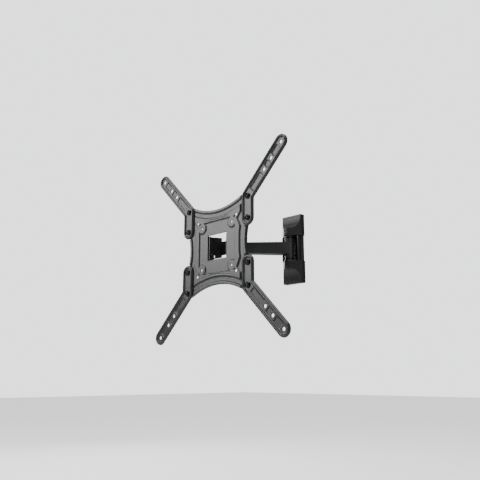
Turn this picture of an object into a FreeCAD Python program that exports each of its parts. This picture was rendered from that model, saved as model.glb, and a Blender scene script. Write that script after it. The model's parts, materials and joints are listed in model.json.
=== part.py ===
import FreeCAD, Part
import Sketcher
import os
import re

# Full motion wall mount for a flat screen, millimetres.
# The origin is the centre of the wall plate's back face, +Y into the wall, +Z up and -Y into the room.
# One arm joins a wall bracket to a tilting VESA plate that carries four bent extension arms.
# Four groups of pieces share a frame each: wall, arm, head (the tilt bracket) and screen (the plate).

SIZES = [
    # wall bracket
    ("cover_half_width", 29, "covers, half of the width"),
    ("cover_wall", 1.8, "covers, wall thickness"),
    ("cover_half_height", 83, "from the centre line to a cover's outer end"),
    ("cover_start", 30.5, "from the centre line to a cover's inner end"),
    ("cover_end_depth", 13, "a cover's depth at its outer end"),
    ("cover_front_depth", 35.5, "a cover's depth at its nose"),
    ("cover_corner", 17, "radius of the nose's two upright corners"),
    ("cover_slope", 29, "slope of the facet, degrees from the wall"),
    ("cover_gap", 0.3, "gap between covers and steel"),
    ("plate_sheet", 2.5, "wall plate and pivot bracket, sheet thickness"),
    ("lip_depth", 11, "depth of the wall plate's side lips"),
    ("bracket_half_height", 62, "pivot bracket, half of the height"),
    ("bracket_depth", 20, "wall to the flanges' front edge between the covers"),
    ("wall_hole_spacing", 100, "between the two wall screw holes"),
    ("wall_hole_radius", 4.5, "wall screw holes"),
    ("wall_pivot_depth", 22.5, "wall to the first pivot"),
    ("ear_inner", 27, "centre line to the wall ears' inner face"),
    ("ear_sheet", 3, "wall ears, thickness"),
    ("ear_radius", 11.5, "wall ears, rounded front"),
    # arm
    ("arm_length", 125, "pivot to pivot"),
    ("arm_angle", 44.1, "arm at rest, degrees from straight out"),
    ("arm_half_width", 11, "arm tube, half of the width"),
    ("arm_half_height_wall", 14.6, "arm tube at the wall pivot, half of the height"),
    ("arm_half_height_head", 12.7, "arm tube at the head pivot, half of the height"),
    ("arm_wall", 2.5, "arm tube, wall thickness"),
    ("sleeve_radius", 7.8, "welded pivot sleeves, outside"),
    ("bush_radius", 6, "spigot of the nylon bushes"),
    ("collar_radius", 11.2, "collar of the nylon bushes at the wall"),
    ("head_collar_radius", 10.5, "collar of the nylon bushes at the head"),
    ("spigot", 9, "length of the bushes' spigots"),
    ("pivot_bolt_radius", 4, "the two pivot bolts"),
    ("pivot_head_radius", 6.8, "pivot bolts' heads, across corners / 2"),
    ("pivot_head", 5.2, "pivot bolts' heads, height"),
    ("pivot_nut_radius", 7.2, "pivot nuts, across corners / 2"),
    ("pivot_nut", 6.4, "pivot nuts, height"),
    ("pivot_washer_radius", 8.8, "pivot washers"),
    ("washer_sheet", 1.5, "pivot washers, thickness"),
    ("thread_end", 2, "bolt end that stands out of a nut"),
    ("thrust_radius", 10.2, "steel rings between collars and ears"),
    ("thrust_washer", 3, "steel rings, thickness"),
    # head
    ("head_reach", 67.7, "head pivot to the front of the plate"),
    ("web_reach", 25.2, "head pivot to the front face of the bracket's web"),
    ("head_sheet", 2.5, "tilt bracket, sheet thickness"),
    ("web_half_height", 16.5, "tilt bracket's web, half of the height"),
    ("head_ear_radius", 12, "tilt bracket's ears, rounded back"),
    ("cheek_half_width", 30.4, "outside of the two cheeks, half of the width"),
    ("cheek_front", 4.7, "front of the plate to the cheeks' front edge"),
    ("cheek_front_top", 22, "cheeks, upper front corner above the arm's line"),
    ("cheek_front_low", 33, "cheeks, lower front corner below the arm's line"),
    ("cheek_back_top", 26.5, "cheeks, upper back corner above the arm's line"),
    ("cheek_back_low", 21.5, "cheeks, lower back corner below the arm's line"),
    ("tilt_depth", 14, "front of the plate to the tilt pivot"),
    ("tilt_height", 17, "arm's line up to the tilt pivot"),
    ("lock_radius", 40, "tilt pivot to the lock bolts"),
    ("tilt_up", 5, "degrees that the plate leans back"),
    ("tilt_down", 10, "degrees that the plate leans forward"),
    ("tilt_bolt_radius", 3, "tilt pivot bolts and lock bolts"),
    ("tilt_head_radius", 5.2, "heads of the tilt bolts"),
    ("tilt_head", 3, "heads of the tilt bolts, thickness"),
    ("spacer_radius", 6.6, "spacers between cheeks and tabs"),
    # screen plate
    ("plate_drop", 5, "arm's line down to the plate's centre"),
    ("sheet", 2, "plate and extension arms, sheet thickness"),
    ("plate_half", 113, "plate, half of its square outline"),
    ("plate_corner", 13, "plate, corner radius"),
    ("long_curve", 185, "radius of the hollow top and bottom edges"),
    ("long_waist", 88.5, "centre to the middle of the top edge"),
    ("side_curve", 126, "radius of the hollow side edges"),
    ("side_waist", 92.3, "centre to the middle of a side edge"),
    ("rim_depth", 8.5, "front of the plate to its turned back rim"),
    ("corner_step", 3.5, "corners stepped back behind the front"),
    ("raised_half", 80, "raised middle, half of its square outline"),
    ("raised_band", 17, "width of the low band outside the raised middle"),
    ("panel_half", 60, "sunk centre panel, half of the width"),
    ("panel_sink", 1.5, "depth of the centre panel"),
    ("boss_radius", 13, "round bosses in the panel's corners"),
    ("window_half_width", 31.6, "window and tabs, half of the width"),
    ("window_half_height", 29.5, "window, half of the height"),
    ("tab_depth", 23, "front of the plate to the tabs' back edge"),
    ("vesa_small", 100, "small hole pattern"),
    ("vesa_small_radius", 2.8, "holes of the small pattern"),
    ("leg_x", 100, "centre to the arms' screws, across"),
    ("leg_low", 50, "centre to the arms' first screws, up"),
    ("leg_high", 100, "centre to the arms' second screws, up"),
    ("spare_hole", 64.65, "centre to the holes for turned arms, across and up"),
    ("arm_screw_radius", 3, "screws that hold the extension arms"),
    # extension arms
    ("strap_half_width", 17.5, "extension arms, half of the width"),
    ("strap_rim", 4.5, "raised rim round the sunk floor"),
    ("strap_depth", 6, "front rim to the back of the arm"),
    ("vesa_mid", 300, "middle hole pattern"),
    ("vesa_between", 341.4, "hole pattern between the middle and the large"),
    ("vesa_large", 400, "large hole pattern"),
    ("vesa_large_radius", 4, "holes in the extension arms"),
    ("screw_head_radius", 7, "domed heads of the arms' screws"),
    ("screw_head", 5.5, "domed heads, height"),
    ("cross_reach", 3.5, "cross recess, centre to an end"),
    ("cross_half_width", 1, "cross recess, half of a slot's width"),
    ("cross_depth", 2, "cross recess, depth"),
    ("nut_radius", 5.77, "six millimetre nuts, across corners / 2"),
    ("nut_height", 5, "six millimetre nuts, height"),
    # fits
    ("running", 0.05, "radial clearance of a turning fit"),
    ("loose", 0.2, "radial clearance of a bolt hole"),
    ("apart", 0.3, "gap between faces that move past each other"),
]

doc = FreeCAD.newDocument("wall_mount")
sheet = doc.addObject("Spreadsheet::Sheet", "Sizes")
for row, (alias, value, note) in enumerate(SIZES, 1):
    sheet.set("A%d" % row, alias)
    sheet.set("B%d" % row, str(value))
    sheet.set("C%d" % row, note)
    sheet.setAlias("B%d" % row, alias)
doc.recompute()
ALIASES = {alias for alias, value, note in SIZES}
parts = []


def sized(text):
    """An expression on the sheet's cells: every alias gets the sheet's name in front."""
    return re.sub(r"[a-z_]+", lambda word: "Sizes." + word[0] if word[0] in ALIASES else word[0], str(text))


# places of the four groups, as expressions
HEAD_X = "-arm_length * sin(arm_angle)"
HEAD_Y = "-wall_pivot_depth - arm_length * cos(arm_angle)"
GROUPS = {
    "wall": ("0", "0", "0", None),
    "arm": ("0", "-wall_pivot_depth", "0", "-arm_angle"),
    "head": (HEAD_X, HEAD_Y, "0", None),
    "screen": (HEAD_X, HEAD_Y + " - head_reach", "-plate_drop", None),
}


def bind(thing, **sizes):
    """Bind properties to expressions."""
    for prop, text in sizes.items():
        thing.setExpression(prop, sized(text))
    return thing


def put(thing, x="0", y="0", z="0", axis=None, turn=None):
    """Place an object by expressions; axis and turn give a rotation about its own origin."""
    if turn is not None:
        thing.Placement = FreeCAD.Placement(FreeCAD.Vector(), FreeCAD.Rotation(FreeCAD.Vector(*axis), 1))
        thing.setExpression(".Placement.Rotation.Angle", sized(turn))
    elif axis is not None:
        thing.Placement = FreeCAD.Placement(FreeCAD.Vector(), FreeCAD.Rotation(FreeCAD.Vector(0, 0, 1), axis))
    for name, text in (("x", x), ("y", y), ("z", z)):
        thing.setExpression(".Placement.Base." + name, sized(text))
    return thing


def box(x0, x1, y0, y1, z0, z1):
    """A box between two corners."""
    item = doc.addObject("Part::Box", "Block")
    bind(item, Length="(%s) - (%s)" % (x1, x0), Width="(%s) - (%s)" % (y1, y0), Height="(%s) - (%s)" % (z1, z0))
    return put(item, x0, y0, z0)


def rod(radius, length, x="0", y="0", z="0", along=(0, 0, 1)):
    """A cylinder from a point along a direction."""
    item = bind(doc.addObject("Part::Cylinder", "Rod"), Radius=radius, Height=length)
    return put(item, x, y, z, FreeCAD.Vector(*along))


def hexagon(radius, length, x="0", y="0", z="0", along=(0, 0, 1)):
    """A six sided bar from a point along a direction."""
    item = bind(doc.addObject("Part::Prism", "Hexagon"), Circumradius=radius, Height=length)
    item.Polygon = 6
    return put(item, x, y, z, FreeCAD.Vector(*along))


def wedge(x0, x1, y0, y1, start, end):
    """A bar along Y whose height runs from start (low, high) to end (low, high)."""
    item = doc.addObject("Part::Wedge", "Wedge")
    bind(item, Xmin=x0, Xmax=x1, X2min=x0, X2max=x1, Ymin=y0, Ymax=y1)
    return bind(item, Zmin=start[0], Zmax=start[1], Z2min=end[0], Z2max=end[1])


def fuse(*items):
    """All the pieces as one solid."""
    if len(items) == 1:
        return items[0]
    result = doc.addObject("Part::MultiFuse", "Fusion")
    result.Shapes = list(items)
    result.Refine = True
    return result


def cut(base, *tools):
    """The base without the tools."""
    result = doc.addObject("Part::Cut", "Cut")
    result.Base = base
    result.Tool = fuse(*tools)
    result.Refine = True
    return result


def common(one, other):
    """What two pieces share."""
    result = doc.addObject("Part::Common", "Common")
    result.Base = one
    result.Tool = other
    return result


def dome(radius, height, x, y, z, along):
    """A screw head: a bar that a sphere rounds off at its far end, a quarter wider than the bar."""
    bar = rod(radius, "2 * (%s)" % height, x, y, z, along)
    ball = bind(doc.addObject("Part::Sphere", "Ball"), Radius="(%s) * 5 / 4" % radius)
    back = "((%s) * 5 / 4 - (%s))" % (radius, height)
    spot = [text + " - (%d) * %s" % (step, back) for text, step in zip((x, y, z), along)]
    return common(bar, put(ball, *spot))


def ring(name, outer, inner, length, x="0", y="0", z="0", along=(0, 0, 1)):
    """A washer or a sleeve: two circles padded along a direction."""
    body = doc.addObject("PartDesign::Body", name)
    sketch = body.newObject("Sketcher::SketchObject", name + "_circles")
    plane = [item for item in body.Origin.OriginFeatures if item.Role == "XY_Plane"][0]
    sketch.AttachmentSupport = (plane, "")
    sketch.MapMode = "FlatFace"
    for index, radius in enumerate((outer, inner)):
        first_size = 9 - 4 * index
        sketch.addGeometry(Part.Circle(FreeCAD.Vector(), FreeCAD.Vector(0, 0, 1), first_size), False)
        sketch.addConstraint(Sketcher.Constraint("Coincident", index, 3, -1, 1))
        number = sketch.addConstraint(Sketcher.Constraint("Radius", index, first_size))
        sketch.renameConstraint(number, "radius_%d" % index)
        sketch.setExpression("Constraints.radius_%d" % index, sized(radius))
    pad = body.newObject("PartDesign::Pad", name + "_pad")
    pad.Profile = sketch
    bind(pad, Length=length)
    return put(body, x, y, z, FreeCAD.Vector(*along))


def group(items):
    """Several solids kept apart in one piece."""
    result = doc.addObject("Part::Compound", "Set")
    result.Links = list(items)
    return result


def finish(name, frame, item):
    """Name a finished piece and put it in its group's frame."""
    item.Label = name
    x, y, z, turn = GROUPS[frame]
    put(item, x, y, z, (0, 0, 1) if turn else None, turn)
    parts.append(item)


# ---------------------------------------------------------------- wall bracket
def cover_block(inset, start):
    """The upper cover's outside, or its inside when inset by the wall: a block with a rounded nose,
    cut off by the facet that slopes from the outer end down to the nose."""
    half = "(cover_half_width - %s)" % inset
    nose = "(cover_front_depth - %s)" % inset
    bend = "(cover_corner - %s)" % inset
    top = "(cover_half_height - %s)" % inset
    blocks = [box("-" + half, half, "-%s + %s" % (nose, bend), "0", start, top),
              box("-%s + %s" % (half, bend), "%s - %s" % (half, bend), "-" + nose, "0", start, top)]
    for side in (-1, 1):
        blocks.append(rod(bend, "%s - (%s)" % (top, start), "%d * (%s - %s)" % (side, half, bend),
                          "-%s + %s" % (nose, bend), start))
    lid = bind(doc.addObject("Part::Box", "Facet"), Length="4 * cover_half_width",
               Width="4 * cover_half_height", Height="4 * cover_half_height")
    put(lid, "-2 * cover_half_width", "-(cover_end_depth - %s / cos(cover_slope))" % inset,
        "cover_half_height", (1, 0, 0), "180 - cover_slope")
    return cut(fuse(*blocks), lid)


def make_covers():
    """Two plastic covers: the lower one is the upper one turned half round about Y."""
    for name, turn in (("upper_cover", "0"), ("lower_cover", "180")):
        shell = cut(cover_block("0", "cover_start"), cover_block("cover_wall", "cover_start - 1"))
        finish(name, "wall", group([put(shell, axis=(0, 1, 0), turn=turn)]))


def wall_holes():
    """Cutters for the two wall screws."""
    return [rod("wall_hole_radius", "4 * plate_sheet", "0", "-3 * plate_sheet",
                "%d * wall_hole_spacing / 2" % side, (0, 1, 0)) for side in (-1, 1)]


def make_wall_plate():
    """A flat pan with a lip down each side, just inside the covers."""
    half = "(cover_half_width - cover_wall - cover_gap)"
    high = "(cover_half_height - cover_wall - cover_gap)"
    pan = [box("-" + half, half, "-plate_sheet", "0", "-" + high, high),
           box("-" + half, "-%s + sheet" % half, "-lip_depth", "0", "-" + high, high),
           box("%s - sheet" % half, half, "-lip_depth", "0", "-" + high, high)]
    finish("wall_plate", "wall", cut(fuse(*pan), *wall_holes()))


def make_pivot_bracket():
    """A channel on the wall plate, with two ears that hold the first pivot. Its flanges are deep
    between the covers and low under them."""
    half, high = "(cover_half_width - cover_wall - sheet - 2 * cover_gap)", "bracket_half_height"
    pieces = [box("-" + half, half, "-2 * plate_sheet", "-plate_sheet", "-" + high, high)]
    for deep, tall in (("bracket_depth", "(cover_start - cover_gap)"), ("lip_depth", high)):
        for low, edge in (("-" + half, "-%s + plate_sheet" % half), ("%s - plate_sheet" % half, half)):
            pieces.append(box(low, edge, "-" + deep, "-plate_sheet", "-" + tall, tall))
    for base in ("ear_inner", "-ear_inner - ear_sheet"):
        pieces.append(box("-ear_radius", "ear_radius", "-wall_pivot_depth", "-2 * plate_sheet", base,
                          base + " + ear_sheet"))
        pieces.append(rod("ear_radius", "ear_sheet", "0", "-wall_pivot_depth", base))
    bore = rod("pivot_bolt_radius + loose", "4 * ear_inner", "0", "-wall_pivot_depth", "-2 * ear_inner")
    finish("pivot_bracket", "wall", cut(fuse(*pieces), bore, *wall_holes()))


def make_pivot_bolt(prefix, frame, reach, y):
    """A pivot bolt through two ears, with its two washers and its nut; reach is the ears' outer face."""
    seat = "(%s + washer_sheet)" % reach
    shank = rod("pivot_bolt_radius", "2 * %s + pivot_nut + thread_end" % seat, "0", y, seat, (0, 0, -1))
    head = hexagon("pivot_head_radius", "pivot_head", "0", y, seat)
    finish(prefix + "_pivot_bolt", frame, fuse(shank, head))
    nut = hexagon("pivot_nut_radius", "pivot_nut", "0", y, "-" + seat, (0, 0, -1))
    bore = rod("pivot_bolt_radius", "4 * %s" % seat, "0", y, "-3 * %s" % seat)
    finish(prefix + "_pivot_nut", frame, cut(nut, bore))
    rings = [ring(prefix + "_washer", "pivot_washer_radius", "pivot_bolt_radius + loose", "washer_sheet",
                  "0", y, z) for z in (reach, "-" + seat)]
    finish(prefix + "_pivot_washers", frame, group(rings))


# ---------------------------------------------------------------- arm
def tube_block(inset):
    """The arm between its pivots, seen from above a slot, seen from the side a taper."""
    half = "(arm_half_width - %s)" % inset
    tall = "2 * arm_half_height_wall"
    slot = fuse(box("-" + half, half, "-arm_length", "0", "-" + tall, tall),
                rod(half, "2 * " + tall, "0", "0", "-" + tall),
                rod(half, "2 * " + tall, "0", "-arm_length", "-" + tall))
    rise = "(arm_half_height_wall - arm_half_height_head) / arm_length * arm_half_width"
    low = "(arm_half_height_head - %s - %s)" % (rise, inset)
    high = "(arm_half_height_wall + %s - %s)" % (rise, inset)
    taper = wedge("-" + half, half, "-arm_length - arm_half_width", "arm_half_width",
                  ("-" + low, low), ("-" + high, high))
    return common(slot, taper)


def make_arm():
    """The tube, its sleeves, and a flat spot at each end of a sleeve where a bush's collar sits."""
    ends = (("wall", "0", "arm_half_height_wall"), ("head", "-arm_length", "arm_half_height_head"))
    tools = [tube_block("arm_wall")]
    for prefix, y, half in ends:
        tools.append(rod("sleeve_radius + running", "6 * (%s)" % half, "0", y, "-3 * (%s)" % half))
        for base in (half, "-2 * (%s)" % half):
            tools.append(rod("collar_radius + loose", half, "0", y, base))
    finish("arm_tube", "arm", cut(tube_block("0"), *tools))
    for prefix, y, half in ends:
        body = ring(prefix + "_sleeve", "sleeve_radius", "bush_radius + running", "2 * (%s)" % half, "0", y,
                    "-(%s)" % half)
        finish(prefix + "_pivot_sleeve", "arm", group([body]))


def make_bush(name, y, half, side, collar, rim):
    """A nylon bush: a spigot in the sleeve under a collar on the arm's face."""
    base = half if side > 0 else "-(%s) - (%s)" % (half, collar)
    start = half + " - spigot" if side > 0 else "-(%s)" % half
    solid = fuse(rod(rim, collar, "0", y, base), rod("bush_radius", "spigot", "0", y, start))
    bore = rod("pivot_bolt_radius + running", "6 * arm_half_height_wall", "0", y, "-3 * arm_half_height_wall")
    finish(name, "arm", cut(solid, bore))


def make_bushes():
    """Two bushes at each end of the arm, and a steel ring outside each of the wall's two."""
    tall = "(ear_inner - arm_half_height_wall - thrust_washer - apart)"
    thin = "(web_half_height - head_sheet - arm_half_height_head - apart)"
    for word, side in (("upper", 1), ("lower", -1)):
        make_bush(word + "_wall_bush", "0", "arm_half_height_wall", side, tall, "collar_radius")
        make_bush(word + "_head_bush", "-arm_length", "arm_half_height_head", side, thin, "head_collar_radius")
    rings = [ring("thrust", "thrust_radius", "pivot_bolt_radius + loose", "thrust_washer", "0", "0", z)
             for z in ("ear_inner - apart - thrust_washer", "apart - ear_inner")]
    finish("wall_thrust_washers", "arm", group(rings))


# ---------------------------------------------------------------- head
PIVOT_Y = "(tilt_depth - head_reach)"


def lock_slot(side):
    """The arc slot that a lock bolt travels in, cut through a cheek along X."""
    wide = "(tilt_bolt_radius + apart)"
    deep = "4 * head_sheet"
    x = "%d * cheek_half_width - 2 * head_sheet" % side
    sector = []
    for radius in ("lock_radius + " + wide, "lock_radius - " + wide):
        item = bind(doc.addObject("Part::Cylinder", "Sector"), Radius=radius, Height=deep,
                    Angle="tilt_up + tilt_down")
        sector.append(put(item, axis=(0, 0, 1), turn="-tilt_up"))
    arc = group([cut(*sector)])
    put(arc, x, PIVOT_Y, "tilt_height", FreeCAD.Vector(1, 0, 0))
    ends = []
    for angle in ("-tilt_up", "tilt_down"):
        ends.append(rod(wide, deep, x, "%s + lock_radius * sin(%s)" % (PIVOT_Y, angle),
                        "tilt_height - lock_radius * cos(%s)" % angle, (1, 0, 0)))
    return [arc] + ends


def make_swivel_head():
    """A bent bracket: a web, two cheeks that run forward and two ears that hold the arm's end."""
    web = box("-cheek_half_width", "cheek_half_width", "-web_reach", "-web_reach + head_sheet",
              "-web_half_height", "web_half_height")
    pieces = [web]
    for side in (-1, 1):
        low = "%d * cheek_half_width" % side if side < 0 else "cheek_half_width - head_sheet"
        high = "-cheek_half_width + head_sheet" if side < 0 else "cheek_half_width"
        pieces.append(wedge(low, high, "cheek_front - head_reach", "-web_reach + head_sheet",
                            ("-cheek_front_low", "cheek_front_top"), ("-cheek_back_low", "cheek_back_top")))
    for base in ("web_half_height - head_sheet", "-web_half_height"):
        pieces.append(box("-head_ear_radius", "head_ear_radius", "-web_reach", "0", base,
                          base + " + head_sheet"))
        pieces.append(rod("head_ear_radius", "head_sheet", "0", "0", base))
    tools = [rod("pivot_bolt_radius + loose", "4 * web_half_height", "0", "0", "-2 * web_half_height"),
             rod("tilt_bolt_radius + loose", "4 * cheek_half_width", "-2 * cheek_half_width", PIVOT_Y,
                 "tilt_height", (1, 0, 0))]
    for side in (-1, 1):
        tools += lock_slot(side)
    finish("tilt_bracket", "head", cut(fuse(*pieces), *tools))


def side_bolt(side, inner, outer, y, z):
    """A bolt along X through a cheek and a tab; inner and outer are where its shank starts and ends."""
    out = (side, 0, 0)
    shank = rod("tilt_bolt_radius", "(%s) - (%s)" % (outer, inner), "%d * (%s)" % (side, inner), y, z, out)
    head = dome("tilt_head_radius", "tilt_head", "%d * (%s)" % (side, inner), y, z, (-side, 0, 0))
    return fuse(shank, head)


def side_nut(side, inner, y, z):
    """A six millimetre nut along X that starts at inner."""
    body = hexagon("nut_radius", "nut_height", "%d * (%s)" % (side, inner), y, z, (side, 0, 0))
    bore = rod("tilt_bolt_radius", "4 * nut_height", "%d * (%s - nut_height)" % (side, inner), y, z,
               (side, 0, 0))
    return cut(body, bore)


def make_tilt_hardware():
    """Pivot bolts stay with the bracket, lock bolts go with the plate."""
    tab = "(window_half_width + sheet)"
    cheek = "cheek_half_width - head_sheet"
    end = tab + " + nut_height + thread_end"
    pivot = (PIVOT_Y, "tilt_height")
    finish("tilt_pivot_bolts", "head",
           group([side_bolt(side, cheek, end + " + apart", *pivot) for side in (-1, 1)]))
    finish("tilt_pivot_nuts", "head", group([side_nut(side, tab + " + apart", *pivot) for side in (-1, 1)]))
    lock = ("tilt_depth", "tilt_height + plate_drop - lock_radius")
    finish("tilt_lock_bolts", "screen",
           group([side_bolt(side, cheek + " - apart", end, *lock) for side in (-1, 1)]))
    finish("tilt_lock_nuts", "screen", group([side_nut(side, tab, *lock) for side in (-1, 1)]))
    rings = []
    for side in (-1, 1):
        for z in ("tilt_height + plate_drop", lock[1]):
            start = "%d * window_half_width" % side
            rings.append(ring("spacer", "spacer_radius", "tilt_bolt_radius + running",
                              "window_half_width - cheek_half_width - apart", start, "tilt_depth", z,
                              (-side, 0, 0)))
    finish("tilt_washers", "screen", group(rings))


# ---------------------------------------------------------------- screen plate
# cutting tools start this far in front of the plate and run this far back
TOOL_START, TOOL_LENGTH = "-20", "60"


def hollow_sided(half, corner, y0, y1, inset):
    """A square with four hollow sides, as a prism along Y; a positive inset makes it smaller."""
    size, bend = "(%s - %s)" % (half, inset), "(%s)" % corner
    flat = "(%s - %s)" % (size, bend)
    items = [box("-" + size, size, y0, y1, "-" + flat, flat), box("-" + flat, flat, y0, y1, "-" + size, size)]
    for sx in (-1, 1):
        for sz in (-1, 1):
            items.append(rod(bend, "(%s) - (%s)" % (y1, y0), "%d * %s" % (sx, flat), y0,
                             "%d * %s" % (sz, flat), (0, 1, 0)))
    hollows = []
    for side in (-1, 1):
        hollows.append(rod("long_curve + " + inset, TOOL_LENGTH, "0", TOOL_START,
                           "%d * (long_waist + long_curve)" % side, (0, 1, 0)))
        hollows.append(rod("side_curve + " + inset, TOOL_LENGTH, "%d * (side_waist + side_curve)" % side,
                           TOOL_START, "0", (0, 1, 0)))
    return cut(fuse(*items), *hollows)


def pins(spots, radius, start=TOOL_START, length=TOOL_LENGTH):
    """Rods along Y at several places."""
    return [rod(radius, length, x, start, z, (0, 1, 0)) for x, z in spots]


def corners(x, z):
    """The four places that mirror one place."""
    return [("%d * (%s)" % (sx, x), "%d * (%s)" % (sz, z)) for sx in (-1, 1) for sz in (-1, 1)]


def make_vesa_plate():
    """A pressed plate: corners stepped back, a raised middle, a sunk centre panel with a window."""
    back = "corner_step + sheet"
    low = hollow_sided("plate_half", "plate_corner", "corner_step", back, "0")
    rim = cut(hollow_sided("plate_half", "plate_corner", "corner_step", "rim_depth", "0"),
              hollow_sided("plate_half", "plate_corner - sheet", "0", "2 * rim_depth", "sheet"))
    raised = hollow_sided("raised_half + raised_band", "plate_corner", "0", back, "raised_band")
    under = hollow_sided("raised_half + raised_band", "plate_corner - sheet", "sheet", "2 * rim_depth",
                         "(raised_band + sheet)")
    shell = cut(fuse(low, rim, raised), under)
    deep = "panel_sink + sheet"
    panel = box("-panel_half - sheet", "panel_half + sheet", "0", deep, "-panel_half - sheet",
                "panel_half + sheet")
    bosses = pins(corners("vesa_small / 2", "vesa_small / 2"), "boss_radius")
    sunk = cut(box("-panel_half", "panel_half", "-1", "panel_sink", "-panel_half", "panel_half"), *bosses)
    tabs = [box("window_half_width", "window_half_width + sheet", "panel_sink", "tab_depth",
                "-window_half_height", "window_half_height"),
            box("-window_half_width - sheet", "-window_half_width", "panel_sink", "tab_depth",
                "-window_half_height", "window_half_height")]
    window = box("-window_half_width", "window_half_width", TOOL_START, TOOL_LENGTH, "-window_half_height",
                 "window_half_height")
    pivot = rod("tilt_bolt_radius + running", "6 * window_half_width", "-3 * window_half_width", "tilt_depth",
                "tilt_height + plate_drop", (1, 0, 0))
    lock = rod("tilt_bolt_radius + running", "6 * window_half_width", "-3 * window_half_width", "tilt_depth",
               "tilt_height + plate_drop - lock_radius", (1, 0, 0))
    holes = pins(corners("vesa_small / 2", "vesa_small / 2"), "vesa_small_radius")
    for x, z in (("leg_x", "leg_low"), ("leg_x", "leg_high"), ("spare_hole", "spare_hole")):
        holes += pins(corners(x, z), "arm_screw_radius + loose")
    nut_room = pins(corners("leg_x", "leg_low") + corners("leg_x", "leg_high"), "nut_radius + 1", back)
    pressed = cut(fuse(shell, panel), sunk, window)
    finish("vesa_plate", "screen", cut(fuse(pressed, *tabs), pivot, lock, *holes, *nut_room))


def strap_prism(sx, sz, half, y0, y1):
    """A dog-leg strap in one quarter: up past two screws, then out along the diagonal to the last hole."""
    long = "((vesa_large / 2 - leg_high) * sqrt(2))"
    deep = "(%s) - (%s)" % (y1, y0)
    x, low, bend = "%d * leg_x" % sx, "%d * leg_low" % sz, "%d * leg_high" % sz
    tip = ("%d * vesa_large / 2" % sx, "%d * vesa_large / 2" % sz)
    first, last = (low, bend) if sz > 0 else (bend, low)
    items = [box("%s - (%s)" % (x, half), "%s + (%s)" % (x, half), y0, y1, first, last)]
    items += [rod(half, deep, px, y0, pz, (0, 1, 0)) for px, pz in ((x, low), (x, bend), tip)]
    slant = box("-(%s)" % half, half, "0", deep, "0", long)
    turn = {(1, 1): 45, (1, -1): 135, (-1, -1): 225, (-1, 1): 315}[(sx, sz)]
    items.append(put(group([slant]), x, y0, bend, (0, 1, 0), str(turn)))
    return fuse(*items)


def make_straps():
    """Four extension arms: a raised rim all round, a sunk floor and an edge turned back."""
    front = "(corner_step - strap_depth)"
    floor = "(corner_step - sheet)"
    for word, sx, sz in (("upper_left", -1, 1), ("upper_right", 1, 1), ("lower_left", -1, -1),
                         ("lower_right", 1, -1)):
        skin = strap_prism(sx, sz, "strap_half_width", front, "corner_step")
        dish = strap_prism(sx, sz, "strap_half_width - strap_rim", front + " - 1", floor)
        under = cut(strap_prism(sx, sz, "strap_half_width - sheet", front + " + sheet", "corner_step + 1"),
                    strap_prism(sx, sz, "strap_half_width - strap_rim + sheet", front, "corner_step + 2"))
        spots = [("%d * leg_x" % sx, "%d * leg_low" % sz), ("%d * leg_x" % sx, "%d * leg_high" % sz)]
        tools = pins(spots, "arm_screw_radius + loose")
        wide = [("%d * %s / 2" % (sx, size), "%d * %s / 2" % (sz, size))
                for size in ("vesa_mid", "vesa_between", "vesa_large")]
        tools += pins(wide, "vesa_large_radius")
        finish(word + "_arm", "screen", cut(skin, dish, under, *tools))


def make_arm_screws():
    """Eight screws with domed cross heads, and their nuts behind the plate."""
    floor, back = "corner_step - sheet", "corner_step + sheet"
    screws, nuts = [], []
    for z in ("leg_low", "leg_high"):
        for x, place in corners("leg_x", z):
            shank = rod("arm_screw_radius", "2 * sheet + nut_height + thread_end", x, floor, place, (0, 1, 0))
            head = dome("screw_head_radius", "screw_head", x, "(%s)" % floor, place, (0, -1, 0))
            blades = []
            for wide, tall in (("cross_reach", "cross_half_width"), ("cross_half_width", "cross_reach")):
                blades.append(box("%s - %s" % (x, wide), "%s + %s" % (x, wide), floor + " - screw_head - 1",
                                  floor + " - screw_head + cross_depth", "%s - %s" % (place, tall),
                                  "%s + %s" % (place, tall)))
            screws.append(cut(fuse(shank, head), *blades))
            body = hexagon("nut_radius", "nut_height", x, back, place, (0, 1, 0))
            nuts.append(cut(body, rod("arm_screw_radius", "4 * nut_height", x, "0", place, (0, 1, 0))))
    finish("arm_screws", "screen", group(screws))
    finish("arm_nuts", "screen", group(nuts))


make_wall_plate()
make_pivot_bracket()
make_covers()
make_pivot_bolt("wall", "wall", "ear_inner + ear_sheet", "-wall_pivot_depth")
make_arm()
make_bushes()
make_swivel_head()
make_pivot_bolt("head", "head", "web_half_height", "0")
make_tilt_hardware()
make_vesa_plate()
make_straps()
make_arm_screws()
doc.recompute()

for thing in doc.Objects:
    if "Invalid" in thing.State or "Error" in thing.State:
        raise RuntimeError("%s (%s) failed: %s" % (thing.Label, thing.TypeId, thing.State))
for item in parts:
    if item.Shape.isNull() or not item.Shape.isValid() or not item.Shape.Solids:
        raise RuntimeError(item.Label + " has no valid solid")
os.makedirs("parts", exist_ok=True)
for item in parts:
    item.Shape.exportStep("parts/%s.step" % item.Label)
    print("%-22s %3d solids %10.0f mm3" % (item.Label, len(item.Shape.Solids), item.Shape.Volume))
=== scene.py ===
import json
import math

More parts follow.
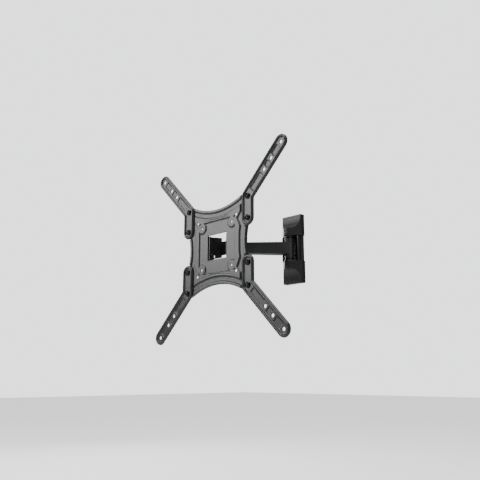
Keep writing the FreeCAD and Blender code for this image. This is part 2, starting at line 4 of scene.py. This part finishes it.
import bmesh
import bpy
import numpy as np
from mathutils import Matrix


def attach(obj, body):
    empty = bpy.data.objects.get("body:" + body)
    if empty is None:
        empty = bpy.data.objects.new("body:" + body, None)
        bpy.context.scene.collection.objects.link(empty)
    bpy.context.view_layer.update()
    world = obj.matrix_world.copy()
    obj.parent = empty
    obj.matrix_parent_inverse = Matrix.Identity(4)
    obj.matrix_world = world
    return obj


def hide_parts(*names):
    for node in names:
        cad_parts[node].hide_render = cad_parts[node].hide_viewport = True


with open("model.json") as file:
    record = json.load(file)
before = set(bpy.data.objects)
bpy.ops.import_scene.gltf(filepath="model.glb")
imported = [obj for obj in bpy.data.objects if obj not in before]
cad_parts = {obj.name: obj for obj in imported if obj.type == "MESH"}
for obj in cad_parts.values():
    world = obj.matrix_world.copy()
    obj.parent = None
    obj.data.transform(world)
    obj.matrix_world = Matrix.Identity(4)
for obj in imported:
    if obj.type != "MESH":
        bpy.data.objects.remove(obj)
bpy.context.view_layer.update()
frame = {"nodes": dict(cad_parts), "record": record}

MM = 0.001
RECORD = frame["record"]
MOUNT = {mount["name"]: mount for mount in RECORD["mounts"]}
JOINT = {joint["name"]: joint for joint in RECORD["behaviour"]["joints"]}
PLATE_CENTRE = np.array(MOUNT["vesa_100"]["pos_m"])          # middle of the plate's front
WALL_PIVOT = np.array(JOINT["wall_swivel"]["pos_m"])
TILT_PIVOT = np.array(JOINT["tilt"]["pos_m"])

# sizes in millimetres from here on, unless a name says otherwise
SHEET = 2.0                     # the plate's sheet
STRAP_SHEET = 1.6               # the extension arms' sheet
COVER_WALL = 1.6
SMALL_PATTERN = 50.0            # half of the small hole pattern
TURNED_PATTERN = 64.65          # holes for turned extension arms
LEG = (100.0, 50.0, 100.0)      # extension arms' screws: across, first up, second up
LARGE = np.array([150.0, 170.7, 200.0])   # holes along an arm's slant, across and up
STRAP_HALF = 17.5               # half of an arm's width
FLOOR_BACK = 3.5                # back of an arm's floor behind the plate's front
WINDOW = (31.6, 29.5)           # half of the window, across and up
SMALL_HOLE, TURNED_HOLE, LEG_HOLE, LARGE_HOLE = 2.8, 3.3, 3.2, 4.0    # radii
TILT_HOLE = 3.05                # radius of the tabs' holes
TILT_LOCK = 40.0                # from the tilt pivot down to the lock bolt
CREASE_ANGLE = math.radians(38)           # sharper edges than this stay crisp
WELD = 0.02                     # points nearer than this are one
RIM_FRONT = -2.5                # front of an arm's rim
PANEL_SINK = 2.6                # the plate's centre panel behind its front


# ------------------------------------------------------------------ meshes
def smoothstep(low, high, value):
    """0 below low, 1 above high, and the cubic 3t^2 - 2t^3 between them."""
    t = np.clip((value - low) / (high - low), 0, 1)
    return t * t * (3 - 2 * t)


def grid_faces(rows, columns, wrap=False, flip=False):
    """Quads of a grid with rows x columns vertices; wrap joins the last column to the first."""
    last = columns if wrap else columns - 1
    i, j = np.meshgrid(np.arange(rows - 1), np.arange(last), indexing="ij")
    k = (j + 1) % columns
    quads = np.stack([i * columns + j, i * columns + k, (i + 1) * columns + k, (i + 1) * columns + j], -1)
    quads = quads.reshape(-1, 4)
    return quads[:, ::-1] if flip else quads


def pierce(points, quads, holes):
    """Round holes in a sheet: quads whose middle lies inside a circle go, and the vertices left on
    their border move straight out from the circle's centre onto the circle. Works in X and Z."""
    for x, z, radius in holes:
        middle = points[quads][:, :, (0, 2)].mean(1) - (x, z)
        inside = np.hypot(*middle.T) < radius
        border = np.intersect1d(quads[inside], quads[~inside])
        ray = points[border][:, (0, 2)] - (x, z)
        ray *= radius / np.maximum(np.hypot(*ray.T), 1e-6)[:, None]
        points[border, 0] = x + ray[:, 0]
        points[border, 2] = z + ray[:, 1]
        quads = quads[~inside]
    return quads


def make_piece(name, shells, centre, body, finish, stands_for, thickness):
    """A sheet piece from (points in mm, quads) shells round a centre in metres, riding on a body.
    The sheet's thickness grows away from the faces' fronts."""
    mesh = bpy.data.meshes.new(name)
    points, quads, start = [], [], 0
    for shell_points, shell_quads in shells:
        points.append(shell_points.reshape(-1, 3) * MM + centre)
        quads.append(shell_quads + start)
        start += len(points[-1])
    mesh.from_pydata(np.concatenate(points).tolist(), [], np.concatenate(quads).tolist())
    work = bmesh.new()
    work.from_mesh(mesh)
    bmesh.ops.remove_doubles(work, verts=work.verts, dist=WELD * MM)
    loose = [vert for vert in work.verts if not vert.link_faces]
    bmesh.ops.delete(work, geom=loose, context="VERTS")
    work.to_mesh(mesh)
    work.free()
    piece = bpy.data.objects.new(name, mesh)
    bpy.context.scene.collection.objects.link(piece)
    solid = piece.modifiers.new("sheet", "SOLIDIFY")
    solid.thickness = thickness * MM
    solid.offset = -1
    solid.use_even_offset = False
    finish_piece(piece, body, finish, [stands_for])


def finish_piece(piece, body, finish, stands_for):
    """Smooth shading with sharp creases, a finish, the piece attached to its body, and the CAD nodes it
    stands for hidden.
    """
    piece.data.materials.clear()
    piece.data.materials.append(finish)
    piece.data.shade_smooth()
    piece.data.set_sharp_from_angle(angle=CREASE_ANGLE)
    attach(piece, body)
    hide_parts(*stands_for)


def soften(node, body, finish, width):
    """A machined piece with its corners broken: the CAD node's triangles merged, then bevelled."""
    same_point, same_plane, corner = 0.002 * MM, math.radians(1), math.radians(35)
    source = frame["nodes"][node]
    mesh = source.data.copy()
    work = bmesh.new()
    work.from_mesh(mesh)
    bmesh.ops.remove_doubles(work, verts=work.verts, dist=same_point)
    bmesh.ops.dissolve_limit(work, angle_limit=same_plane, verts=work.verts, edges=work.edges)
    work.to_mesh(mesh)
    work.free()
    piece = bpy.data.objects.new(node + "_softened", mesh)
    bpy.context.scene.collection.objects.link(piece)
    edge = piece.modifiers.new("broken_edges", "BEVEL")
    edge.width = width * MM
    edge.segments = 2
    edge.limit_method = "ANGLE"
    edge.angle_limit = corner
    edge.harden_normals = True
    edge.use_clamp_overlap = True
    finish_piece(piece, body, finish, [node])


# ------------------------------------------------------------------ finishes
class Wire:
    """A socket that takes part in sums: each operator adds the Math node that does it. Both sums
    and products give the same either way round, so the reflected forms are the same functions."""

    def __init__(self, finish, socket):
        self.finish = finish
        self.socket = socket

    def sum_with(self, operation, other):
        return self.finish.node("ShaderNodeMath", {"operation": operation}, {0: self, 1: other})

    def __add__(self, other):
        return self.sum_with("ADD", other)

    def __mul__(self, other):
        return self.sum_with("MULTIPLY", other)

    __radd__ = __add__
    __rmul__ = __mul__

    def between(self, low, high):
        """0 below low, 1 above high, smooth between them."""
        return self.finish.node("ShaderNodeMapRange", {"interpolation_type": "SMOOTHSTEP"},
                                {"Value": self, "From Min": low, "From Max": high})


class Finish:
    """A material whose nodes are written as expressions."""

    def __init__(self, name):
        self.material = bpy.data.materials.new(name)
        self.material.use_nodes = True
        self.tree = self.material.node_tree
        self.shader = self.tree.nodes["Principled BSDF"]
        self.place = self.node("ShaderNodeTexCoord", {}, {}, "Object")

    def node(self, kind, settings, links, output=0):
        """A node: its settings first, then the values or wires of its sockets; gives one output."""
        made = self.tree.nodes.new(kind)
        for name, value in settings.items():
            setattr(made, name, value)
        for name, value in links.items():
            if isinstance(value, Wire):
                self.tree.links.new(value.socket, made.inputs[name])
            else:
                made.inputs[name].default_value = value
        return Wire(self, made.outputs[output])

    def noise(self, size, detail=2.0, stretch=(1, 1, 1)):
        """Noise whose blots are about size millimetres across, drawn out along an axis by stretch."""
        scaled = self.node("ShaderNodeVectorMath", {"operation": "MULTIPLY"},
                           {0: self.place, 1: [1 / (size * MM * each) for each in stretch]})
        return self.node("ShaderNodeTexNoise", {}, {"Vector": scaled, "Scale": 1.0, "Detail": detail})

    def blend(self, amount, dark, light):
        """A colour from dark to light as amount goes from 0 to 1."""
        return self.node("ShaderNodeMix", {"data_type": "RGBA"},
                         {0: amount, 6: (*dark, 1), 7: (*light, 1)}, 2)

    def bump(self, height, depth, strength):
        """A surface that stands out by height times depth millimetres."""
        return self.node("ShaderNodeBump", {},
                         {"Height": height, "Distance": depth * MM, "Strength": strength})

    def build(self, **sockets):
        """Values and wires for the shader's sockets; an underscore stands for a space."""
        for name, value in sockets.items():
            socket = self.shader.inputs[name.replace("_", " ")]
            if isinstance(value, Wire):
                self.tree.links.new(value.socket, socket)
            else:
                socket.default_value = value
        return self.material


def powder_coat():
    """Satin black powder coat: fine orange peel, cloudy colour and gloss, and faint duller rub marks."""
    coat = Finish("powder_coat")
    peel = coat.noise(0.9, 3)
    grain = coat.noise(0.25, 2)
    cloud = coat.noise(38, 3)
    rub = coat.noise(9, 4, (1, 1, 3)).between(0.6, 0.78)
    colour = coat.blend(cloud.between(0.3, 0.7), (0.020, 0.0205, 0.022), (0.032, 0.0325, 0.034))
    return coat.build(Base_Color=colour, Roughness=0.31 + 0.09 * cloud + 0.05 * rub + 0.04 * grain,
                      Normal=coat.bump(peel + 0.4 * grain, 0.05, 0.5), Specular_IOR_Level=0.62)


def moulded_cover():
    """Black moulded plastic with a fine even spark texture and slight sheen changes."""
    shell = Finish("black_plastic")
    spark = shell.noise(0.35, 4)
    flow = shell.noise(26, 2, (1, 1, 2))
    colour = shell.blend(flow, (0.013, 0.013, 0.014), (0.024, 0.024, 0.026))
    return shell.build(Base_Color=colour, Roughness=0.38 + 0.09 * flow + 0.06 * spark,
                       Normal=shell.bump(spark, 0.05, 0.6))


def black_oxide():
    """Black screws: dark oxide with small patches that are a little paler and duller."""
    steel = Finish("black_steel")
    patch = steel.noise(3.5, 4).between(0.45, 0.7)
    pits = steel.noise(0.3, 2)
    colour = steel.blend(patch, (0.012, 0.012, 0.013), (0.035, 0.034, 0.034))
    return steel.build(Base_Color=colour, Roughness=0.20 + 0.12 * patch + 0.05 * pits, Metallic=0.5,
                       Normal=steel.bump(pits, 0.02, 0.4))


def zinc_plate():
    """Zinc plated steel: bright with cloudy grey spangle and fine turning marks."""
    zinc = Finish("zinc_steel")
    spangle = zinc.noise(2.2, 4)
    turning = zinc.noise(0.35, 2, (30, 30, 1))
    colour = zinc.blend(spangle, (0.40, 0.41, 0.43), (0.66, 0.66, 0.64))
    return zinc.build(Base_Color=colour, Metallic=1.0, Roughness=0.24 + 0.22 * spangle,
                      Normal=zinc.bump(turning, 0.03, 0.5))


def nylon():
    """Black nylon: waxy, with faint flow lines and a light haze."""
    wax = Finish("nylon")
    haze = wax.noise(6, 3)
    lines = wax.noise(0.6, 2, (1, 1, 5))
    colour = wax.blend(haze, (0.020, 0.020, 0.021), (0.05, 0.05, 0.051))
    return wax.build(Base_Color=colour, Roughness=0.34 + 0.16 * haze,
                     Normal=wax.bump(lines, 0.04, 0.4))


def studio_floor():
    """Pale matt studio paint with a trace of roller texture, which glows to the camera alone so that
    its far end is as pale as its near end."""
    paint = Finish("studio_floor")
    roller = paint.noise(30, 3)
    colour = paint.blend(roller, (0.70, 0.70, 0.70), (0.74, 0.74, 0.735))
    seen = paint.node("ShaderNodeLightPath", {}, {})
    glow = paint.node("ShaderNodeMix", {"data_type": "RGBA"}, {0: seen, 6: (0, 0, 0, 1), 7: colour}, 2)
    return paint.build(Base_Color=colour, Roughness=0.82 + 0.06 * roller, Emission_Color=glow,
                       Emission_Strength=1.6)


COAT, COVER, OXIDE, ZINC, NYLON = powder_coat(), moulded_cover(), black_oxide(), zinc_plate(), nylon()


# ------------------------------------------------------------------ screen plate
def strap_distance(x, z):
    """Distance in one quarter from an extension arm's centre line, a vertical leg and a slant."""
    x, z = np.abs(x), np.abs(z)
    leg = np.hypot(x - LEG[0], z - np.clip(z, LEG[1], LEG[2]))
    along = np.clip((x - LEG[0] + z - LEG[2]) / 2, 0, LARGE[2] - LEG[2])
    return np.minimum(leg, np.hypot(x - LEG[0] - along, z - LEG[2] - along))


def plate_inside(x, z):
    """How far inside the plate's outline a point lies: a rounded square less four hollow sides,
    joined by a smooth maximum so that the corners are lobes."""
    half, corner, soft = 113.0, 14.0, 3.0
    long_radius, long_centre = 185.0, 273.5        # the hollow top and bottom
    short_radius, short_centre = 126.2, 218.5      # the hollow sides
    ax, az = np.abs(x), np.abs(z)
    qx, qz = ax - half + corner, az - half + corner
    square = np.hypot(np.maximum(qx, 0), np.maximum(qz, 0)) + np.minimum(np.maximum(qx, qz), 0) - corner
    long_side = long_radius - np.hypot(ax, az - long_centre)
    short_side = short_radius - np.hypot(ax - short_centre, az)
    return -soft * np.log(sum(np.exp(each / soft) for each in (square, long_side, short_side)))


def plate_front(x, z):
    """Depth of the plate's front: a raised middle with zigzag sides and two fine lines along its top
    and bottom, a groove round it, a rim, a sunk centre panel with round bosses in its corners, and
    corners stepped back under the arms."""
    band, rim_inside, lines = 18.2, (5.6, 8.8), (23.5, 27.5)       # measured in from the outline
    boss_radius, panel_across, panel_up = 13.0, 59.5, 61.0
    groove, rim_level, crease = 3.3, 0.2, 0.45
    raised_edge, panel_edge, line_half, line_ends = 1.5, 1.4, 1.7, (12, 40)
    step_start, step_end = STRAP_HALF + 0.8, STRAP_HALF + 3.4      # the corners' step, from an arm's middle
    ax, az = np.abs(x), np.abs(z)
    inside = plate_inside(x, z)
    # half the raised middle's width, by height
    side = np.interp(az, (0, 24, 35, 56, 66, 70, 90), (74.0, 74.5, 77.0, 66.5, 75.0, 78.0, 78.0))
    raised = smoothstep(-raised_edge, raised_edge, np.minimum(inside - band, side - ax))
    rim = 1 - smoothstep(*rim_inside, inside)
    depth = (groove + (rim_level - groove) * rim) * (1 - raised)
    for middle in lines:
        line = 1 - smoothstep(0.0, line_half, np.abs(inside - middle))
        depth += crease * line * raised * smoothstep(*line_ends, az - ax)
    boss = boss_radius - np.hypot(ax - SMALL_PATTERN, az - SMALL_PATTERN)
    panel = np.maximum(np.maximum(ax - panel_across, az - panel_up), boss)
    depth += PANEL_SINK * (1 - smoothstep(-panel_edge, panel_edge, panel))
    under_arm = 1 - smoothstep(step_start, step_end, strap_distance(x, z))
    return depth + (FLOOR_BACK - depth) * under_arm


def four(x, z, radius):
    """The same hole in all four quarters."""
    return [(sx * x, sz * z, radius) for sx in (-1, 1) for sz in (-1, 1)]


def pressed_plate():
    """The plate's front skin: rays from the window's edge to the outline, found by halving, with rings
    that crowd together where the depth changes, and the rim's edge rolled back behind it."""
    wide, tall = WINDOW
    steps, rings, halvings, samples = 112, 84, 30, 900     # steps along each side of the window
    roll, back, far_out = 1.2, 8.5, 190.0
    crowding, steepest, neighbours = 3, 1.2, 9
    t = np.arange(4 * steps) / steps
    side, along = t.astype(int), 2 * (t % 1) - 1
    x = np.choose(side, (along, np.ones_like(t), -along, -np.ones_like(t))) * wide
    z = np.choose(side, (-np.ones_like(t), along, np.ones_like(t), -along)) * tall
    reach = np.hypot(x, z)
    low, high = reach.copy(), np.full_like(reach, far_out)
    for _ in range(halvings):
        middle = (low + high) / 2
        within = plate_inside(x / reach * middle, z / reach * middle) > 0
        low, high = np.where(within, middle, low), np.where(within, high, middle)
    fine = reach + (low - roll - reach) * np.linspace(0, 1, samples)[:, None]
    change = np.abs(np.diff(plate_front(x / reach * fine, z / reach * fine), axis=0))
    steep = np.minimum(change / np.diff(fine, axis=0), steepest)
    steep = np.mean([np.roll(steep, k, 1) for k in range(-neighbours, neighbours + 1)], 0)
    travel = np.concatenate([np.zeros((1, len(t))), np.cumsum(1 + crowding * steep, 0)])
    spread = np.linspace(0, 1, rings)
    radius = np.stack([np.interp(spread * each[-1], each, out) for each, out in zip(travel.T, fine.T)], -1)
    px, pz = x / reach * radius, z / reach * radius
    front = np.stack([px, plate_front(px, pz), pz], -1)
    bend = np.linspace(0, math.pi / 2, 5)[1:, None]
    rolled = low - roll + roll * np.sin(bend)
    edge = np.stack([x / reach * rolled, front[-1, :, 1] + roll * (1 - np.cos(bend)), z / reach * rolled], -1)
    down = np.array([[0.35], [0.7], [1.0]])
    skirt = edge[-1:].repeat(len(down), 0)
    skirt[:, :, 1] += (back - edge[-1, :, 1]) * down
    points = np.concatenate([front, edge, skirt]).reshape(-1, 3)
    quads = grid_faces(len(front) + len(edge) + len(skirt), 4 * steps, wrap=True, flip=True)
    holes = four(SMALL_PATTERN, SMALL_PATTERN, SMALL_HOLE)
    holes += four(TURNED_PATTERN, TURNED_PATTERN, TURNED_HOLE)
    holes += four(LEG[0], LEG[1], LEG_HOLE) + four(LEG[0], LEG[2], LEG_HOLE)
    return points, pierce(points, quads, holes)


def tab(side):
    """One tab beside the window: a flat sheet whose back corners are rounded, with the two bolts'
    holes. Rows run back from the plate, columns run up."""
    inner, tall = WINDOW
    front, depth, corner = PANEL_SINK + 0.3, 23.0, 7.0
    rows, columns = 44, 100
    v = np.linspace(-1, 1, columns)
    half_up = np.abs(v) * tall
    end = depth - corner + np.sqrt(np.maximum(corner ** 2 - np.maximum(half_up - tall + corner, 0) ** 2, 0))
    u = np.linspace(0, 1, rows)[:, None]
    y = front + (end - front) * u
    z = np.broadcast_to(v * tall, y.shape)
    flat = np.stack([y, np.zeros_like(y), z], -1).reshape(-1, 3)
    quads = grid_faces(rows, columns, flip=side < 0)
    pivot = (TILT_PIVOT - PLATE_CENTRE) / MM
    quads = pierce(flat, quads, [(pivot[1], pivot[2] - drop, TILT_HOLE) for drop in (0, TILT_LOCK)])
    points = np.stack([np.full(len(flat), side * inner), flat[:, 0], flat[:, 2]], -1)
    return points, quads


# ------------------------------------------------------------------ extension arms
def strap(sx, sz):
    """One dog-legged arm: rows run along the centre line, mitred at the bend and closing to a point
    round each end; columns run across it and then straight back down the edges. The depth comes from
    the distance to the edge: a rolled rim, a slope and a sunk floor with three deeper pads."""
    crest, roll, slope = 5.0, 4.8, (5.0, 7.8)
    # the pads run from and to these distances along the slant, measured from the bend
    pads, pad_half, pad_depth, pad_edge = ((17.0, 60.0), (79.0, 92.0), (109.0, 131.0)), 6.4, 2.0, 0.9
    cap_rows, leg_rows, slant_rows, columns = 22, 44, 130, 41
    start, bend, tip = np.array([LEG[0], LEG[1]]), np.array([LEG[0], LEG[2]]), np.array([LARGE[2], LARGE[2]])
    up, out = np.array([0.0, 1.0]), np.array([1.0, 1.0]) / math.sqrt(2)
    left_up, left_out = np.array([-1.0, 0.0]), np.array([-1.0, 1.0]) / math.sqrt(2)
    mitre = (left_up + left_out) / (1 + left_up @ left_out)
    side = np.linspace(1, 0.25, 4)
    top = np.sin(np.linspace(-1, 1, columns) * math.pi / 2)
    across = np.concatenate([np.full(len(side), -1.0), top, np.full(len(side), 1.0)])
    wall = np.concatenate([side, np.zeros(columns), side[::-1]])

    def row(centre, normal):
        return centre + STRAP_HALF * across[:, None] * normal

    turn = np.linspace(0, math.pi / 2, cap_rows)
    rows = [row(start - STRAP_HALF * math.cos(a) * up, math.sin(a) * left_up) for a in turn]
    leg_start, leg_end, slant_end = row(start, left_up), row(bend, mitre), row(tip, left_out)
    rows += [leg_start + (leg_end - leg_start) * t for t in np.linspace(0, 1, leg_rows)[1:]]
    rows += [leg_end + (slant_end - leg_end) * t for t in np.linspace(0, 1, slant_rows)[1:]]
    rows += [row(tip + STRAP_HALF * math.sin(a) * out, math.cos(a) * left_out) for a in turn[1:]]
    flat = np.array(rows)
    x, z = flat[..., 0], flat[..., 1]
    edge = np.clip(STRAP_HALF - strap_distance(x, z), 0, None)
    away = np.clip(1 - edge / crest, 0, 1)
    depth = RIM_FRONT + roll * (1 - np.sqrt(1 - away ** 2))
    floor = FLOOR_BACK - SHEET
    depth += (floor - RIM_FRONT) * smoothstep(*slope, edge)
    far = (x - LEG[0] + z - LEG[2]) / math.sqrt(2)
    off = np.abs(x - LEG[0] - z + LEG[2]) / math.sqrt(2)
    for low, high in pads:
        pad = np.minimum(np.minimum(far - low, high - far), pad_half - off)
        depth += pad_depth * smoothstep(-pad_edge, pad_edge, pad)
    depth = depth + (FLOOR_BACK - depth) * wall
    points = np.stack([sx * x, depth, sz * z], -1).reshape(-1, 3)
    quads = grid_faces(len(rows), len(across), flip=sx * sz > 0)
    return points, pierce(points, quads, [(sx * hole, sz * hole, LARGE_HOLE) for hole in LARGE])


# ------------------------------------------------------------------ covers
def cover_skin(side):
    """One cover, rows running up and columns round its plan: a short square base, straight slanted
    flanks and a round boss in front of the pivot. Above the boss a hollow cove cuts the front back
    to the outer end: the depth is the smooth minimum of the plan's and the cove's. A flat lid closes
    the outer end."""
    half, base, start, end = 29.0, 13.0, 30.5, 83.0
    boss, pivot, lean, rounding, soft = 13.5, -WALL_PIVOT[1] / MM, math.radians(50), 1.2, 0.4
    shoulder = np.array([half - 0.5, base + 0.3])
    touch = np.array([boss * math.sin(lean), pivot + boss * math.cos(lean)])
    arc = np.linspace(lean, -lean, 33)
    right = np.array([[half, 0.0], [half, base * 0.5], [half, base - 0.6], shoulder])
    flank = shoulder + (touch - shoulder) * np.linspace(0, 1, 24)[1:, None]
    nose = np.stack([boss * np.sin(arc), pivot + boss * np.cos(arc)], -1)[1:-1]
    plan = np.concatenate([right, flank, nose, flank[::-1] * (-1, 1), right[::-1] * (-1, 1)])
    cove_low, cove_high = 47.0, 54.0               # rows are closest where the cove is steepest
    rise = np.concatenate([np.linspace(start, cove_low, 24)[:-1], np.linspace(cove_low, cove_high, 42)[:-1],
                           np.linspace(cove_high, end - rounding, 50)])
    turn = np.linspace(0.2, 1, 5) * math.pi / 2
    z = np.concatenate([rise, end - rounding + rounding * np.sin(turn)])
    # how far the cove lets the front stand out, by height
    cove = np.interp(z, (47.5, 48.3, 49, 50, 52, 56, 60, 64, 70, 76, 83),
                     (60, 38, 32.0, 27.4, 23.8, 20.0, 17.6, 15.8, 14.3, 13.5, 13.0))
    depth = -soft * np.log(np.exp(-plan[None, :, 1] / soft) + np.exp(-cove[:, None] / soft))
    inset = np.concatenate([np.zeros(len(rise)), rounding * (1 - np.cos(turn))])[:, None]
    x = plan[None, :, 0] * (half - inset) / half
    depth = np.maximum(depth - inset, 0)
    depth[:, (0, -1)] = 0
    skin = np.stack([x, -depth, np.broadcast_to(z[:, None], x.shape)], -1)
    lid = np.array([0.0, 0.0, end])
    shut = np.stack([skin[-1] + (lid - skin[-1]) * t for t in (0.5, 0.999)])
    points = np.concatenate([skin, shut])
    rows, columns = points.shape[:2]
    points[..., 2] *= side
    return points.reshape(-1, 3), grid_faces(rows, columns, flip=side > 0)


# ------------------------------------------------------------------ the object
make_piece("pressed_plate", [pressed_plate(), tab(-1), tab(1)], PLATE_CENTRE, "tv_plate", COAT,
           "vesa_plate", SHEET)
for word, sx, sz in (("upper_left", -1, 1), ("upper_right", 1, 1),
                     ("lower_left", -1, -1), ("lower_right", 1, -1)):
    make_piece(word + "_strap", [strap(sx, sz)], PLATE_CENTRE, "tv_plate", COAT,
               word + "_arm", STRAP_SHEET)
for word, side in (("upper", 1), ("lower", -1)):
    make_piece(word + "_cover_shell", [cover_skin(side)], np.zeros(3), "wall_bracket", COVER,
               word + "_cover", COVER_WALL)

# body, finish, slot, width of the broken edges in millimetres, nodes
for body, finish, slot_name, width, nodes in (
        ("wall_bracket", COAT, "powder_coat", 0.5, ("wall_plate", "pivot_bracket")),
        ("arm", COAT, "powder_coat", 1.2, ("arm_tube",)),
        ("arm", COAT, "powder_coat", 0.3, ("wall_pivot_sleeve", "head_pivot_sleeve")),
        ("head", COAT, "powder_coat", 0.7, ("tilt_bracket",)),
        ("arm", NYLON, "nylon", 0.5, ("upper_wall_bush", "lower_wall_bush")),
        ("arm", NYLON, "nylon", 0.2, ("upper_head_bush", "lower_head_bush")),
        ("wall_bracket", ZINC, "zinc_steel", 0.4, ("wall_pivot_bolt", "wall_pivot_nut")),
        ("wall_bracket", ZINC, "zinc_steel", 0.2, ("wall_pivot_washers",)),
        ("arm", OXIDE, "black_steel", 0.3, ("wall_thrust_washers",)),
        ("head", ZINC, "zinc_steel", 0.4, ("head_pivot_bolt", "head_pivot_nut")),
        ("head", ZINC, "zinc_steel", 0.2, ("head_pivot_washers",)),
        ("head", OXIDE, "black_steel", 0.3, ("tilt_pivot_bolts", "tilt_pivot_nuts")),
        ("tv_plate", OXIDE, "black_steel", 0.3, ("tilt_lock_bolts", "tilt_lock_nuts", "arm_screws")),
        ("tv_plate", ZINC, "zinc_steel", 0.2, ("tilt_washers",)),
        ("tv_plate", ZINC, "zinc_steel", 0.4, ("arm_nuts",))):
    for node in nodes:
        soften(node, body, finish, width)


# ------------------------------------------------------------------ studio, in metres
def studio():
    """A pale floor, a room that is pale to the camera and dim to the object, one large soft light
    that the plate mirrors and three fills."""
    reach, level, dim, pale = 9.0, -0.62, 0.14, 2.2
    corners = [(-reach, -reach, level), (reach, -reach, level), (reach, reach, level), (-reach, reach, level)]
    floor_mesh = bpy.data.meshes.new("floor")
    floor_mesh.from_pydata(corners, [], [(0, 1, 2, 3)])
    floor = bpy.data.objects.new("floor", floor_mesh)
    floor.data.materials.append(studio_floor())
    bpy.context.scene.collection.objects.link(floor)

    world = bpy.data.worlds.new("room")
    world.use_nodes = True
    tree = world.node_tree
    tree.nodes["Background"].inputs["Color"].default_value = (0.97, 0.98, 1.0, 1)
    shown = tree.nodes.new("ShaderNodeLightPath").outputs["Is Camera Ray"]
    strength = tree.nodes.new("ShaderNodeMapRange")
    strength.inputs["To Min"].default_value = dim
    strength.inputs["To Max"].default_value = pale
    tree.links.new(shown, strength.inputs["Value"])
    tree.links.new(strength.outputs["Result"], tree.nodes["Background"].inputs["Strength"])
    bpy.context.scene.world = world

    target = np.array([-0.06, -0.12, 0.0])
    # each light: name, place, width in metres, watts
    lights = (("key", (-1.45, -1.75, 0.84), 1.2, 35.0), ("top", (0.1, -0.5, 2.0), 1.6, 40.0),
              ("right", (1.9, -0.5, 0.5), 1.0, 4.0), ("left", (-1.6, 0.5, 0.6), 1.0, 18.0))
    for name, spot, size, power in lights:
        lamp = bpy.data.lights.new(name, "AREA")
        lamp.shape = "SQUARE"
        lamp.size = size
        lamp.energy = power
        holder = bpy.data.objects.new(name, lamp)
        holder.location = spot
        holder.rotation_euler = look(np.array(spot), target)
        bpy.context.scene.collection.objects.link(holder)


def look(spot, target):
    """Euler angles that turn a light's -Z from spot to target."""
    way = target - spot
    flat = math.hypot(way[0], way[1])
    return (math.atan2(flat, -way[2]), 0.0, math.atan2(way[1], way[0]) - math.pi / 2)


def camera():
    """The camera: low in front of the object, to the right of it, looking up at the plate."""
    view = bpy.data.cameras.new("camera")
    view.lens = 45.165
    view.sensor_width = 36.0
    holder = bpy.data.objects.new("camera", view)
    holder.location = (0.9097, -1.1003, -0.3004)
    holder.rotation_euler = (math.radians(102.89), 0.0, math.radians(44.96))
    bpy.context.scene.collection.objects.link(holder)
    bpy.context.scene.camera = holder


studio()
camera()
